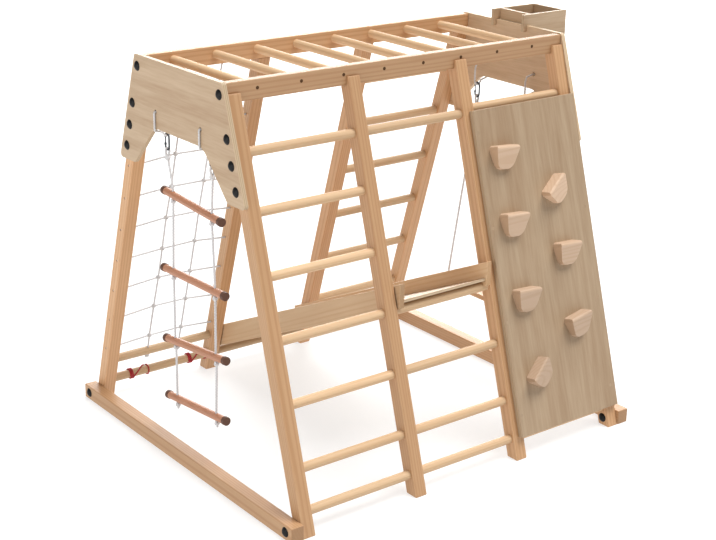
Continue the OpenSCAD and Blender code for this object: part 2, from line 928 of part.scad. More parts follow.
module swing_ropes() {
    lead = 14;
    color(rope_white)
        at_swing()
            for (side = [-1, 1]) {
                low = [0, side * seat_rope_y, seat_z + lead];
                translate([0, side * sling_y, 0]) rope_eye();
                strand([0, side * sling_y, eye_z], low, rope_d);
                knot(low, rope_d + 2);
                strand([0, side * seat_rope_y, seat_z - seat_t - 9], low, rope_d);
                knot([0, side * seat_rope_y, seat_z - seat_t - 8.9], rung_knot_d);
            }
}

module swing_seat() {
    c = [seat_w / 2 - seat_corner_r, seat_l / 2 - seat_corner_r];
    color(pine)
        at_swing()
            translate([0, 0, seat_z - seat_t])
                difference() {
                    linear_extrude(seat_t)
                        polygon(concat(
                            arc([c[0], c[1]], seat_corner_r, 0, 90, 6),
                            arc([-c[0], c[1]], seat_corner_r, 90, 180, 6),
                            arc([-c[0], -c[1]], seat_corner_r, 180, 270, 6),
                            arc([c[0], -c[1]], seat_corner_r, 270, 360, 6)
                        ));
                    for (side = [-1, 1])
                        translate([0, side * seat_rope_y, -1])
                            cylinder(d = rope_d + 2 * fit, h = seat_t + 2);
                }
}

module swing_hooks() {
    color("#3a3c40") at_swing() for (side = [-1, 1]) translate([0, side * sling_y, 0]) snap_hook();
}

// Tray hung over the right panel's top edge
tray_x0 = panel_x + play;
tray_x1 = tray_x0 + tray_l;
tray_top = panel_top + tray_rise;
tray_low = tray_top - tray_h;
tab_t = 15;
tab_low = panel_top - 21;

module tray_side(side) {
    color(ply)
        placed()
            on_side(side)
                translate([0, tray_w / 2, 0])
                    rotate([90, 0, 0])
                        linear_extrude(tray_t)
                            difference() {
                                polygon([
                                    [frame_x - play - tab_t, tab_low],
                                    [frame_x - play - tab_t, tray_top],
                                    [tray_x1, tray_top],
                                    [tray_x1, tray_low],
                                    [tray_x0, tray_low],
                                    [tray_x0, tab_low]
                                ]);
                                translate([frame_x - play, tab_low - 1])
                                    square([tray_x0 - frame_x + play, panel_top + play - tab_low + 1]);
                            }
}

module tray_walls() {
    half = tray_w / 2 - tray_t;
    color(ply)
        placed()
            for (x = [tray_x0, tray_x1 - tray_t])
                translate([x, -half, tray_low]) cube([tray_t, 2 * half, tray_h]);
}

module tray_bottom() {
    half = tray_w / 2 - tray_t;
    color(ply)
        placed()
            translate([tray_x0 + tray_t, -half, tray_low]) cube([tray_l - 2 * tray_t, 2 * half, tray_t]);
}

leg_front(0);  // leg_front_1
leg_front(1);  // leg_front_2
leg_front(2);  // leg_front_3
leg_front(3);  // leg_front_4
leg_back(0);  // leg_back_1
leg_back(1);  // leg_back_2
leg_back(2);  // leg_back_3
leg_back(3);  // leg_back_4
rail(-1);  // rail_front
rail(1);  // rail_back
monkey_bar(0);  // monkey_bar_1
monkey_bar(1);  // monkey_bar_2
monkey_bar(2);  // monkey_bar_3
monkey_bar(3);  // monkey_bar_4
monkey_bar(4);  // monkey_bar_5
monkey_bar(5);  // monkey_bar_6
monkey_bar(6);  // monkey_bar_7
monkey_bar(7);  // monkey_bar_8
rungs_front_left();
rungs_front_middle();
rung_front_right();
rungs_back_right();
net_bar();
low_bars_back();
climbing_net();
net_ties();
end_panel(-1);  // end_panel_left
end_panel(1);  // end_panel_right
base_beam(-1);  // base_beam_left
base_beam(1);  // base_beam_right
bolt_caps();
frame_bolts();
thread_inserts();
rail_screws();
climbing_board();
board_screws();
hold_bolts();
hold(0);  // hold_1
hold(1);  // hold_2
hold(2);  // hold_3
hold(3);  // hold_4
hold(4);  // hold_5
hold(5);  // hold_6
hold(6);  // hold_7
ramp_deck();
ramp_cheek(-1);  // ramp_cheek_left
ramp_cheek(1);  // ramp_cheek_right
panel_slings();
ladder_rungs();
ladder_ropes();
ladder_caps();
ladder_hooks();
swing_seat();
swing_ropes();
swing_hooks();
tray_side(-1);  // tray_side_front
tray_side(1);  // tray_side_back
tray_walls();
tray_bottom();
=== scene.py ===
import json
import math
import random
import bmesh
import bpy
from mathutils import Matrix, Vector


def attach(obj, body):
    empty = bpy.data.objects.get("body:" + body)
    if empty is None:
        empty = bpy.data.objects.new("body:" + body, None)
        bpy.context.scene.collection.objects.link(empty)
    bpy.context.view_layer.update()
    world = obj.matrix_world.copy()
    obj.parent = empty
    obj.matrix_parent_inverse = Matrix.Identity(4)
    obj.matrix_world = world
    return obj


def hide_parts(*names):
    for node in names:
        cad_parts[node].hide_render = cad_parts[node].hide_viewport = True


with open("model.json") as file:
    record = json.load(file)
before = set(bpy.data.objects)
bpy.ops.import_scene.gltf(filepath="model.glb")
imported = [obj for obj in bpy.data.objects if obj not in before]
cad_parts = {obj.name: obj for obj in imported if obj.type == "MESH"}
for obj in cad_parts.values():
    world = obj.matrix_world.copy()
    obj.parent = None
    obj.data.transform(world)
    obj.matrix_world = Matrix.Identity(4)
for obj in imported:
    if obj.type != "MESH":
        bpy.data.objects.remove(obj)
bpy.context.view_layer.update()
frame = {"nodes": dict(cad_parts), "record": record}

scene = bpy.context.scene
scene.view_settings.view_transform = "Standard"  # keeps the white backdrop and the wood's own colours
mm = 0.001
xAxis, yAxis, zAxis = Vector((1, 0, 0)), Vector((0, 1, 0)), Vector((0, 0, 1))
bodyOf = {node: body for body, nodes in frame["record"]["behaviour"]["bodies"].items() for node in nodes}
slotOf = {part["node"]: part["material_slot"] for part in frame["record"]["subparts"]}

# the photo's own viewpoint, worked out from the frame's straight edges: metres, degrees, lens in mm
photoCamera = {
    "place": (-2.99865, -3.786, 2.252),
    "yaw": -37.86, "pitch": 19.87, "roll": 0.94,
    "lens": 74.84, "sensor": 36.0,
}


def addCamera(spec):
    data = bpy.data.cameras.new("photoCamera")
    data.lens, data.sensor_width, data.sensor_fit = spec["lens"], spec["sensor"], "HORIZONTAL"
    camera = bpy.data.objects.new("photoCamera", data)
    turn = (Matrix.Rotation(math.radians(spec["yaw"]), 3, "Z")
            @ Matrix.Rotation(math.radians(90 - spec["pitch"]), 3, "X")
            @ Matrix.Rotation(math.radians(spec["roll"]), 3, "Z"))
    camera.matrix_world = Matrix.Translation(spec["place"]) @ turn.to_4x4()
    scene.collection.objects.link(camera)
    scene.camera = camera


addCamera(photoCamera)

# sizes of the timber, ropes and fittings, in millimetres and degrees; those that the part's source has
# too are the same there. "drawn" is a cord's thickness as shown, a little under its solid's in the frame,
# "step" is how far apart its points are, and "easing" how often its corners are smoothed.
timber = {
    "midX": 68.65, "legX": [-648, -216, 216, 648], "legSide": 45, "lean": 16.66, "footY": 615.5,
    "rungD": 30, "lowRungZ": 65, "topRungZ": 1112, "netBarZ": 150, "railLow": 1242, "socket": 15,
}
panel = {"thick": 15, "archTop": 1090, "archFlat": 115, "archR": 60}
sling = {
    "thick": 8, "drawn": 7.5, "y": 130, "holeZ": 1143, "hangIn": 24, "bendR": 14, "bendDrop": 14,
    "inset": 2, "shoulder": (9, 5), "fall": 24, "step": 2, "easing": 4,
}
hook = {
    "wire": 6, "arc": 11, "straight": 30, "bodyEnds": (5, -3), "gate": 4.2, "gateEnds": (4, -2),
    "sleeve": 7.2, "sleeveEnds": (2, 10), "pin": 2.6, "pinZ": 6.5, "pinHalf": 4.4, "step": 1.5,
}
rope = {
    "thick": 9, "drawn": 8.5, "eyeL": 26, "throat": (1, -4), "shoulder": (5, 8),
    "eyeKnot": (7, 4.5), "knot": (6.2, 4), "knotDrop": 8.9, "tail": 14, "step": 2.8, "easing": 6,
}
ladder = {
    "drop": 214, "step": 228, "ropeY": 120, "rungD": 25, "lead": 6, "shift": -10,
    "twist": [-2, 1, 1, 0], "tilt": [2, -1, -6, -6], "slack": [8, -13, -15, 8],
}
seat = {"ropeY": 248, "topZ": 297, "thick": 18, "lead": 14}
net = {
    "drawn": 7, "lowRowZ": 217, "rowStep": 119, "rows": 9, "sag": 12, "wall": 2, "tail": 12,
    "leadLow": 40, "leadTop": 30, "knot": (5.8, 3.6), "endKnot": (5.6, 3.4), "endKnotDrop": 8,
    "wander": (2, 3), "step": 2.8, "easing": 8,
}
tie = {
    "thick": 5, "x": [-548, -305], "pitch": 5.2, "cross": 56, "lift": 0.15, "start": -15,
    "turnSteps": 24, "closeTurns": 3, "crossSteps": 10, "lastSteps": 30,
    "knot": (4, 2.4), "knotBack": 2, "step": 1.6, "easing": 3,
}
play = 0.3  # between a cord and what it bears on
weld = 0.01  # corners nearer than this are one
softAngle = 40  # a fold sharper than this, in degrees, is an edge

lean = math.radians(timber["lean"])
frameX = timber["legX"][3] + timber["legSide"] / 2
panelX = frameX + panel["thick"]
hangX = frameX - sling["hangIn"]
bendZ = panel["archTop"] - sling["bendDrop"]
hookTop = bendZ - sling["bendR"] + sling["thick"] / 2 + play + hook["wire"] / 2
hookLow = hookTop - 2 * hook["arc"] - hook["straight"]
eyeZ = hookLow - rope["eyeL"]


# how far behind the middle the axis of a back leg is at a height; a front leg is as far in front of it
def legY(z):
    return timber["footY"] - z * math.tan(lean)


# a point in the part's source, in millimetres, to the frame's own place in metres
def place(x, y, z):
    return Vector((x - timber["midX"], y, z)) * mm


# an sRGB colour in hex, as the photo shows it, to the linear one that the nodes take
def hexColour(text):
    parts = [int(text[k:k + 2], 16) / 255 for k in (1, 3, 5)]
    return (*[c / 12.92 if c <= 0.04045 else ((c + 0.055) / 1.055) ** 2.4 for c in parts], 1)


# adds a node and links or sets its inputs; of a colour Mix node, input 0 is the factor, 6 and 7 are the
# colours, and output 2 is the result
def addNode(tree, kind, inputs=None, **settings):
    node = tree.nodes.new(kind)
    for name, value in settings.items():
        setattr(node, name, value)
    for name, value in (inputs or {}).items():
        if isinstance(value, bpy.types.NodeSocket):
            tree.links.new(value, node.inputs[name])
        else:
            node.inputs[name].default_value = value
    return node


def startMaterial(name, **sockets):
    material = bpy.data.materials.new(name)
    material.use_nodes = True
    tree = material.node_tree
    shader = tree.nodes["Principled BSDF"]
    for socket, value in sockets.items():
        shader.inputs[socket.replace("_", " ")].default_value = value
    return material, tree, shader


def bumpInto(tree, shader, height, strength, depth):
    bump = addNode(tree, "ShaderNodeBump", {"Height": height, "Strength": strength, "Distance": depth * mm})
    tree.links.new(bump.outputs["Normal"], shader.inputs["Normal"])


# what markGrain wrote on the mesh: the place in the grain, the piece's tone with its painted light and
# shade, and where it is cut
def readMarks(tree):
    return [addNode(tree, "ShaderNodeAttribute", attribute_name=name).outputs[output]
            for name, output in (("grain", "Vector"), ("tone", "Fac"), ("cut", "Fac"))]


# lightens or darkens the colour by the piece's tone, which holds painted light and shade besides the random
# tone
def toneInto(tree, shader, colour, tone):
    value = addNode(tree, "ShaderNodeMath", {0: tone, 1: 1.0}, operation="ADD").outputs[0]
    toned = addNode(tree, "ShaderNodeHueSaturation", {"Color": colour, "Value": value})
    tree.links.new(toned.outputs[0], shader.inputs["Base Color"])


# specks between two tones, with their own relief
def speckInto(tree, shader, spec, noise, strength, depth):
    here = addNode(tree, "ShaderNodeTexCoord").outputs["Object"]
    specks = addNode(tree, "ShaderNodeTexNoise", {
        "Vector": here, "Scale": 1 / (spec["speck"] * mm), **noise}).outputs["Fac"]
    colour = addNode(tree, "ShaderNodeMix", {
        0: specks, 6: hexColour(spec["light"]), 7: hexColour(spec["dark"])}, data_type="RGBA").outputs[2]
    tree.links.new(colour, shader.inputs["Base Color"])
    bumpInto(tree, shader, specks, strength, depth)


# solid softwood, planed and sealed with a clear satin varnish: growth rings show as long soft stripes,
# which run twenty times as far along the grain as across it
def softwood(name, spec):
    material, tree, shader = startMaterial(name, Roughness=spec["roughness"], IOR=1.5)
    grain, tone, cut = readMarks(tree)
    long = addNode(tree, "ShaderNodeMapping", {"Vector": grain, "Scale": (1, 1, 0.05)}).outputs[0]
    rings = addNode(tree, "ShaderNodeTexWave", {
        "Vector": long, "Scale": math.pi / 10 / (spec["ring"] * mm), "Distortion": 3.0, "Detail": 2.0,
        "Detail Scale": 0.7, "Detail Roughness": 0.6}, wave_type="RINGS", rings_direction="Z").outputs["Fac"]
    streaks = addNode(tree, "ShaderNodeTexNoise", {
        "Vector": long, "Scale": 1 / (spec["streak"] * mm), "Detail": 4.0, "Roughness": 0.65}).outputs["Fac"]
    late = addNode(tree, "ShaderNodeMapRange", {
        "Value": rings, "From Min": 0.45}, interpolation_type="SMOOTHSTEP").outputs["Result"]
    ringed = addNode(tree, "ShaderNodeMix", {
        0: addNode(tree, "ShaderNodeMath", {0: late, 1: spec["ringDepth"]}, operation="MULTIPLY").outputs[0],
        6: hexColour(spec["early"]), 7: hexColour(spec["late"])}, data_type="RGBA").outputs[2]
    spread = addNode(tree, "ShaderNodeMapRange", {
        "Value": streaks, "From Min": 0.3, "From Max": 0.7, "To Max": spec["streakDepth"]}).outputs["Result"]
    streaked = addNode(tree, "ShaderNodeMix", {
        0: spread, 6: ringed, 7: hexColour(spec["streakColour"])}, data_type="RGBA").outputs[2]
    ended = addNode(tree, "ShaderNodeMix", {
        0: addNode(tree, "ShaderNodeMath", {0: cut, 1: 0.75}, operation="MULTIPLY").outputs[0],
        6: streaked, 7: hexColour(spec["end"])}, data_type="RGBA").outputs[2]
    toneInto(tree, shader, ended, tone)
    bumpInto(tree, shader, streaks, strength=0.25, depth=0.3)
    return material


# rotary-cut plywood, sanded and varnished: wide faint flames on the faces and bands of plies on the edges
def plywood(name, spec):
    material, tree, shader = startMaterial(name, Roughness=spec["roughness"], IOR=1.5)
    grain, tone, cut = readMarks(tree)
    long = addNode(tree, "ShaderNodeMapping", {"Vector": grain, "Scale": (1, 1, 0.07)}).outputs[0]
    flame = addNode(tree, "ShaderNodeTexNoise", {
        "Vector": long, "Scale": 1 / (spec["flame"] * mm), "Detail": 2.0, "Distortion": 0.6}).outputs["Fac"]
    pores = addNode(tree, "ShaderNodeTexNoise", {
        "Vector": long, "Scale": 1 / (spec["pore"] * mm), "Detail": 3.0, "Roughness": 0.6}).outputs["Fac"]
    wide = addNode(tree, "ShaderNodeMapRange", {
        "Value": flame, "From Min": 0.35, "From Max": 0.68, "To Max": spec["flameDepth"]}).outputs["Result"]
    fine = addNode(tree, "ShaderNodeMapRange", {
        "Value": pores, "From Min": 0.35, "From Max": 0.7, "To Max": spec["poreDepth"]}).outputs["Result"]
    both = addNode(tree, "ShaderNodeMath", {0: wide, 1: fine}, operation="ADD", use_clamp=True).outputs[0]
    face = addNode(tree, "ShaderNodeMix", {
        0: both, 6: hexColour(spec["light"]), 7: hexColour(spec["dark"])}, data_type="RGBA").outputs[2]
    plies = addNode(tree, "ShaderNodeTexWave", {
        "Vector": grain, "Scale": math.pi / 10 / (2 * spec["ply"] * mm), "Distortion": 0.4,
        "Detail Scale": 0.4}, wave_type="BANDS", bands_direction="X").outputs["Fac"]
    sharp = addNode(tree, "ShaderNodeMapRange", {
        "Value": plies, "From Min": 0.35, "From Max": 0.65},
        interpolation_type="SMOOTHSTEP").outputs["Result"]
    edge = addNode(tree, "ShaderNodeMix", {
        0: sharp, 6: hexColour(spec["edgeLight"]), 7: hexColour(spec["edgeDark"])},
        data_type="RGBA").outputs[2]
    board = addNode(tree, "ShaderNodeMix", {0: cut, 6: face, 7: edge}, data_type="RGBA").outputs[2]
    toneInto(tree, shader, board, tone)
    bumpInto(tree, shader, pores, strength=0.15, depth=0.2)
    return material


# laid cord of spun fibre: matt, with short fibres that catch the light at the rim
def spunCord(name, spec):
    material, tree, shader = startMaterial(name, Roughness=0.9, Sheen_Weight=0.25, Sheen_Roughness=0.5)
    speckInto(tree, shader, spec, {"Detail": 3.0, "Roughness": 0.7}, strength=0.5, depth=0.4)
    return material


# injection-moulded plastic with a fine spark-eroded grain that softens its highlights
def mouldedPlastic(name, spec):
    material, tree, shader = startMaterial(name, Roughness=spec["roughness"], Specular_IOR_Level=0.25)
    speckInto(tree, shader, spec, {"Detail": 2.0}, strength=0.2, depth=0.1)
    return material


# plated or lacquered steel: metal with slightly cloudy gloss from handling
def coatedSteel(name, spec):
    material, tree, shader = startMaterial(name, Metallic=1.0, Base_Color=hexColour(spec["colour"]))
    here = addNode(tree, "ShaderNodeTexCoord").outputs["Object"]
    cloud = addNode(tree, "ShaderNodeTexNoise", {
        "Vector": here, "Scale": 1 / (spec["cloud"] * mm), "Detail": 3.0}).outputs["Fac"]
    gloss = addNode(tree, "ShaderNodeMapRange", {
        "Value": cloud, "To Min": spec["rough"][0], "To Max": spec["rough"][1]}).outputs["Result"]
    tree.links.new(gloss, shader.inputs["Roughness"])
    return material


# ring, streak, flame, pore, ply, speck and cloud are the real sizes of that detail in millimetres
finishes = {
    "pine": softwood("varnishedPine", {
        "early": "#cfa57b", "late": "#b78557", "streakColour": "#c08f64", "end": "#ab8057",
        "ring": 9, "ringDepth": 0.55, "streak": 12, "streakDepth": 0.5, "roughness": 0.5}),
    "pale_pine": softwood("sandedPalePine", {
        "early": "#c9ab87", "late": "#b28a61", "streakColour": "#bb956e", "end": "#a9835c",
        "ring": 9, "ringDepth": 0.32, "streak": 12, "streakDepth": 0.45, "roughness": 0.6}),
    "stained_wood": softwood("stainedBeech", {
        "early": "#ba8568", "late": "#a56b4a", "streakColour": "#b07a5e", "end": "#8a5e43",
        "ring": 6, "ringDepth": 0.4, "streak": 8, "streakDepth": 0.5, "roughness": 0.5}),
    "hold_wood": softwood("sandedLimewood", {
        "early": "#ccaf95", "late": "#bb997a", "streakColour": "#c3a587", "end": "#b09072",
        "ring": 11, "ringDepth": 0.4, "streak": 10, "streakDepth": 0.5, "roughness": 0.6}),
    "plywood": plywood("varnishedPlywood", {
        "light": "#c9af90", "dark": "#ad8d6c", "edgeLight": "#cdb595", "edgeDark": "#b89f80",
        "flame": 45, "flameDepth": 0.55, "pore": 7, "poreDepth": 0.35, "ply": 3,
        "roughness": 0.5}),
    "rope": spunCord("spunRope", {"light": "#e4e3e3", "dark": "#c4c3c5", "speck": 3}),
    "red_cord": spunCord("redCord", {"light": "#c2252e", "dark": "#8f141d", "speck": 2}),
    "black_plastic": mouldedPlastic("blackPlastic", {
        "light": "#0e0e0f", "dark": "#09090a", "speck": 2, "roughness": 0.5}),
    "brown_plastic": mouldedPlastic("brownPlastic", {
        "light": "#6e5042", "dark": "#593f35", "speck": 2, "roughness": 0.6}),
    "zinc_steel": coatedSteel("zincPlatedSteel", {"colour": "#b4b6b8", "cloud": 6, "rough": (0.25, 0.45)}),
    "bronzed_steel": coatedSteel("bronzedSteel", {"colour": "#5d4431", "cloud": 4, "rough": (0.4, 0.6)}),
    "dark_steel": coatedSteel("darkenedSteel", {"colour": "#4c4e52", "cloud": 5, "rough": (0.3, 0.5)}),
}
print("materials made")


# a node's CAD shape, with the triangles of each flat face joined again
def cadShape(node):
    form = bmesh.new()
    form.from_mesh(frame["nodes"][node].data)
    bmesh.ops.remove_doubles(form, verts=form.verts, dist=weld * mm)
    bmesh.ops.dissolve_limit(form, angle_limit=math.radians(0.5), verts=form.verts, edges=form.edges)
    return form


# rounds the long outer edges, and leaves sockets, bores and curved walls as they are
def roundEdges(form, rounding, shortest):
    form.normal_update()
    sharp = [edge for edge in form.edges
             if edge.is_manifold and edge.is_convex and edge.calc_face_angle() > math.radians(softAngle)
             and edge.calc_length() > shortest * mm]
    bmesh.ops.bevel(form, geom=sharp, offset=rounding * mm, offset_type="OFFSET", segments=3,
                    affect="EDGES", profile=0.5, material=-1, clamp_overlap=True)


# the corners of each separate solid in a form
def islands(form):
    left = set(form.verts)
    while left:
        found, rim = [], [left.pop()]
        while rim:
            vert = rim.pop()
            found.append(vert)
            near = {other for link in vert.link_edges for other in link.verts} & left
            left -= near
            rim.extend(near)
        yield found


# how far from the tree's heart and from its foot a piece may be sawn, in metres, and how much the tone
# of like pieces differs
sawn = {"heart": (0.02, 0.07), "foot": (0, 5), "tone": (-0.07, 0.07)}


# gives each board or rod its own grain: place across, across and along it, a tone that also carries its
# painted light and shade, and where it is cut
def markGrain(form, name, along, thick, layered, lightAndToneShift):
    along = along.normalized()
    thick = (thick - along * thick.dot(along)).normalized()
    across = along.cross(thick)
    grain = form.verts.layers.float_vector.new("grain")
    tone = form.verts.layers.float.new("tone")
    cut = form.faces.layers.float.new("cut")
    draw = random.Random(name)
    for verts in sorted(islands(form), key=lambda found: min(tuple(v.co) for v in found)):
        lowest = Vector([min(v.co[k] for v in verts) for k in range(3)])
        highest = Vector([max(v.co[k] for v in verts) for k in range(3)])
        middle = (lowest + highest) / 2
        heart = [draw.uniform(*sawn["heart"]) * draw.choice((-1, 1)) for k in range(2)]
        shift = Vector((0 if layered else heart[0], heart[1], draw.uniform(*sawn["foot"])))
        # the random tone plus the piece's painted light and shade
        toneWithLight = lightAndToneShift + draw.uniform(*sawn["tone"])
        for vert in verts:
            out = vert.co - middle
            vert[grain] = Vector((out.dot(thick), out.dot(across), out.dot(along))) + shift
            vert[tone] = toneWithLight
    for face in form.faces:
        if layered:
            face[cut] = float(abs(face.normal.dot(thick)) < 0.5)
        else:
            face[cut] = float(abs(face.normal.dot(along)) > 0.7)


# makes the form a piece that rides with a node's body and wears the finish of the node's slot, or the looks
# given, and hides the node in its place unless it is added
def finishPiece(form, name, node, looks=None, evened=False, soft=softAngle, added=False):
    form.normal_update()
    for face in form.faces:
        face.smooth = True
    for edge in form.edges:
        edge.smooth = edge.is_manifold and edge.calc_face_angle() < math.radians(soft)
    mesh = bpy.data.meshes.new(name)
    form.to_mesh(mesh)
    form.free()
    piece = bpy.data.objects.new(name, mesh)
    mesh.materials.append(finishes[looks or slotOf[node]])
    scene.collection.objects.link(piece)
    if evened:  # keeps the flat faces flat beside their rounded edges
        even = piece.modifiers.new("evenShading", "WEIGHTED_NORMAL")
        even.keep_sharp = True
    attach(piece, bodyOf[node])
    if not added:
        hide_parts(node)


def camel(node):
    first, *rest = node.split("_")
    return first + "".join(word.capitalize() for word in rest)


# timbers and boards: the way of the grain, the thin way, and the rounding of the edges in millimetres
upFront = Vector((0, math.sin(lean), math.cos(lean)))
upBack = Vector((0, -math.sin(lean), math.cos(lean)))
outFront = Vector((0, -math.cos(lean), math.sin(lean)))
rampLine = Vector((0, 1, -0.48))  # down the ramp's slope
timbers = {
    **{f"leg_front_{k}": (upFront, xAxis, 2.5) for k in range(1, 5)},
    **{f"leg_back_{k}": (upBack, xAxis, 2.5) for k in range(1, 5)},
    "rail_front": (xAxis, yAxis, 2.5), "rail_back": (xAxis, yAxis, 2.5),
    "base_beam_left": (yAxis, xAxis, 3), "base_beam_right": (yAxis, xAxis, 3),
    "ramp_cheek_left": (rampLine, xAxis, 2.5), "ramp_cheek_right": (rampLine, xAxis, 2.5),
    "swing_seat": (yAxis, zAxis, 4),
}
boards = {
    "end_panel_left": (yAxis, xAxis, 2), "end_panel_right": (yAxis, xAxis, 2),
    "climbing_board": (upFront, outFront, 2.5), "ramp_deck": (rampLine, zAxis, 1),
    "tray_side_front": (xAxis, yAxis, 1.5), "tray_side_back": (xAxis, yAxis, 1.5),
    "tray_walls": (yAxis, xAxis, 1), "tray_bottom": (xAxis, zAxis, 0.8),
}
rods = {
    **{f"monkey_bar_{k}": yAxis for k in range(1, 9)},
    "rungs_front_left": xAxis, "rungs_front_middle": xAxis, "rung_front_right": xAxis,
    "rungs_back_right": xAxis, "net_bar": xAxis, "low_bars_back": xAxis, "ladder_rungs": yAxis,
}
holds = [f"hold_{k}" for k in range(1, 8)]

# pieces that the photo shows paler or in another wood than their slot
ownLooks = {
    **{node: "pale_pine" for node in ("ramp_cheek_left", "ramp_cheek_right", *rods)},
    "ladder_rungs": "stained_wood", "board_screws": "plywood",
}

# how much lighter or darker than its wood the photo shows a piece, as a part of its brightness
# painted light and shade: for most pieces these stand in for how light falls on them, lighter for the lit
# bars, rungs, top rung, back rail, back leg and the inner faces of the right panel and right ramp cheek,
# darker for the shaded front legs, front rail, base beams and low back bars; the holds are made lighter high
# on the board and darker towards the bottom; the climbing board's and its screws' darkening alone is the
# real colour of their plywood
paintedLightAndTone = {
    "leg_front_1": -0.18, "leg_front_2": -0.08, "leg_front_3": -0.1, "leg_front_4": -0.08,
    "leg_back_1": 0.08, "rail_front": -0.15, "rail_back": 0.08,
    "base_beam_left": -0.12, "base_beam_right": -0.12, "end_panel_right": 0.12,
    "climbing_board": -0.25, "board_screws": -0.25, "ramp_cheek_right": 0.3,
    **{f"monkey_bar_{k}": 0.28 for k in range(1, 9)},
    "rungs_front_left": 0.15, "rungs_front_middle": 0.08, "rung_front_right": 0.08,
    "rungs_back_right": 0.1, "low_bars_back": -0.05, "top_rung": 0.15,
    **{node: 0.16 - 0.06 * k for k, node in enumerate(holds)},
}


# a wooden node's own shape, with its edges rounded where a rounding is given
def dressNode(node, along, thick, rounding=0, shortest=9, layered=False):
    form = cadShape(node)
    if rounding:
        roundEdges(form, rounding, shortest)
    # the piece's painted light and shade goes into its tone
    markGrain(form, node, along, thick, layered, paintedLightAndTone.get(node, 0))
    finishPiece(form, camel(node), node, looks=ownLooks.get(node), evened=rounding > 0)


# top rung of the right bay, which the photo shows over the board's top edge and the frame doesn't hold
def buildTopRung():
    left, right = timber["legX"][2:]
    z = timber["topRungZ"]
    overlap = 1  # half of it in each leg
    form = bmesh.new()
    bmesh.ops.create_cone(
        form, cap_ends=True, cap_tris=False, segments=32,
        depth=(right - left - timber["legSide"] + overlap) * mm,
        radius1=timber["rungD"] / 2 * mm, radius2=timber["rungD"] / 2 * mm,
        matrix=Matrix.Translation(place((left + right) / 2, -legY(z), z))
        @ Matrix.Rotation(math.pi / 2, 4, "Y"))
    # painted lighter, a painted highlight standing in for the rung's lit top
    markGrain(form, "top_rung", xAxis, zAxis, layered=False, lightAndToneShift=paintedLightAndTone["top_rung"])
    finishPiece(form, "rungFrontRightTop", "rung_front_right", looks="pale_pine", added=True)


for node, (along, thick, rounding) in timbers.items():
    dressNode(node, along, thick, rounding)
for node, (along, thick, rounding) in boards.items():
    dressNode(node, along, thick, rounding, layered=True)
for node, along in rods.items():
    dressNode(node, along, zAxis)
buildTopRung()
print("timbers, boards and rods made")

# climbing holds are sanded round all over
for node in holds:
    dressNode(node, xAxis, outFront, rounding=3, shortest=0)
for node in ("bolt_caps", "rail_screws", "ladder_caps", "frame_bolts", "thread_inserts", "hold_bolts"):
    finishPiece(cadShape(node), camel(node), node)
# the board's screws are lacquered like its face, where the photo shows none
dressNode("board_screws", upFront, outFront, layered=True)
print("holds and small fittings made")


# points an even step apart along a line of points, the step in millimetres
def spaced(points, step, closed=False):
    line = list(points) + ([points[0]] if closed else [])
    lengths = [(b - a).length for a, b in zip(line, line[1:])]
    count = max(2, round(sum(lengths) / (step * mm)))
    made, leg, done = [], 0, 0.0
    for k in range(count if closed else count + 1):
        want = sum(lengths) * k / count
        while leg < len(lengths) - 1 and done + lengths[leg] < want:
            done += lengths[leg]
            leg += 1
        made.append(line[leg].lerp(line[leg + 1], min(1, (want - done) / max(lengths[leg], 1e-9))))
    return made


# lets a line of points round its own corners, as a cord does
def eased(points, passes, closed=False):
    for k in range(passes):
        after = points[1:] + points[:1]
        before = points[-1:] + points[:-1]
        soft = [(a + 2 * p + b) / 4 for a, p, b in zip(before, points, after)]
        points = soft if closed else [points[0]] + soft[1:-1] + [points[-1]]
    return points


# angles that cut a half turn into even steps
def halfTurn(count):
    return [math.pi * k / count for k in range(count + 1)]


# angles that go once round in even steps
def fullTurn(count):
    return [2 * math.pi * k / count for k in range(count)]


# overhand knot as a closed line round a point: along is the cord's way, flat the knot's thin way, and
# the knot is its radius and its depth in millimetres
def knotLoop(centre, along, flat, knot):
    radius, depth = knot
    side = along.cross(flat)
    return [centre + (along * (math.sin(t) + 2 * math.sin(2 * t)) / 3 * radius
                      + side * (math.cos(t) - 2 * math.cos(2 * t)) / 3 * radius
                      - flat * math.sin(3 * t) * depth) * mm for t in fullTurn(60)], True


# adds an outline swept along several lines; a closed line is given as (points, True), and lay is the
# length in which the outline turns once, in millimetres like the outline
def sweepInto(form, lines, outline, lay=None):
    drawnOutline = bpy.data.curves.new("outline", "CURVE")
    ring = drawnOutline.splines.new("POLY")
    ring.points.add(len(outline) - 1)
    for point, (x, y) in zip(ring.points, outline):
        point.co = (x * mm, y * mm, 0, 1)
    ring.use_cyclic_u = True
    section = bpy.data.objects.new("outline", drawnOutline)
    curve = bpy.data.curves.new("line", "CURVE")
    curve.dimensions = "3D"
    curve.bevel_mode = "OBJECT"
    curve.bevel_object = section
    curve.use_fill_caps = True
    for line in lines:
        points, closed = line if isinstance(line, tuple) else (line, False)
        spline = curve.splines.new("POLY")
        spline.points.add(len(points) - 1)
        walked = 0.0
        for k, point in enumerate(points):
            walked += (point - points[max(0, k - 1)]).length
            spline.points[k].co = (*point, 1)
            if lay:
                spline.points[k].tilt = (2 * math.pi * walked / (lay * mm)) % (2 * math.pi)
        spline.use_cyclic_u = closed
    drawn = bpy.data.objects.new("line", curve)
    scene.collection.objects.link(drawn)
    scene.collection.objects.link(section)
    bpy.context.view_layer.update()
    swept = drawn.evaluated_get(bpy.context.evaluated_depsgraph_get())
    form.from_mesh(bpy.data.meshes.new_from_object(swept))
    bmesh.ops.remove_doubles(form, verts=form.verts, dist=weld * mm)
    bmesh.ops.recalc_face_normals(form, faces=form.faces)
    for spent in (drawn, section):
        bpy.data.objects.remove(spent)


